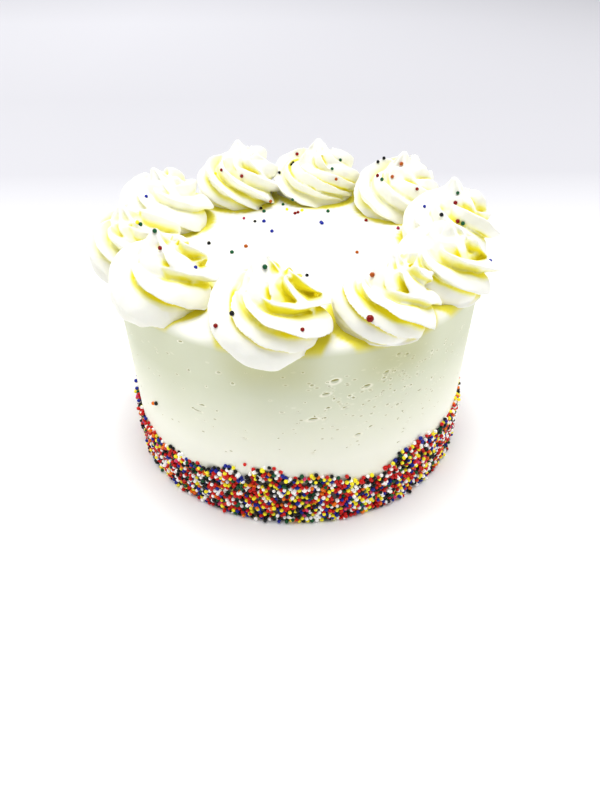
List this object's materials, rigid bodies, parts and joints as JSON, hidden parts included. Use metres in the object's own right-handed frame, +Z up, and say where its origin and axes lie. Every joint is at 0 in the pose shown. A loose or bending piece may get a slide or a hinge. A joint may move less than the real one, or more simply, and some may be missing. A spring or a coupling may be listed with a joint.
{
  "type": "frosted round cake with piped rosettes and sprinkles",
  "caption": "Round frosted celebration cake with a ring of piped swirl rosettes on top and a band of tiny round sprinkles at the foot.",
  "frame": {"origin": "centre of the flat base of the cake", "axes": "+Z up, -Y towards the front that the picture shows"},
  "size_m": [0.1687, 0.1683, 0.1164],
  "materials": {
    "buttercream_wall": "smoothed pale ivory buttercream, satin, with small air-bubble pits",
    "buttercream_rosette": "piped ivory-white buttercream, satin",
    "sprinkle_red": "sugar pearl, slight sheen",
    "sprinkle_white": "sugar pearl, slight sheen",
    "sprinkle_yellow": "sugar pearl, slight sheen",
    "sprinkle_blue": "sugar pearl, slight sheen",
    "sprinkle_green": "sugar pearl, slight sheen",
    "sprinkle_orange": "sugar pearl, slight sheen",
    "sprinkle_pink": "sugar pearl, slight sheen",
    "sprinkle_black": "sugar pearl, slight sheen"
  },
  "bodies": {
    "root": {"cake_body": "buttercream_wall", "rosette_01": "buttercream_rosette", "rosette_02": "buttercream_rosette", "rosette_03": "buttercream_rosette", "rosette_04": "buttercream_rosette", "rosette_05": "buttercream_rosette", "rosette_06": "buttercream_rosette", "rosette_07": "buttercream_rosette", "rosette_08": "buttercream_rosette", "rosette_09": "buttercream_rosette", "rosette_10": "buttercream_rosette"}
  },
  "joints": []
}
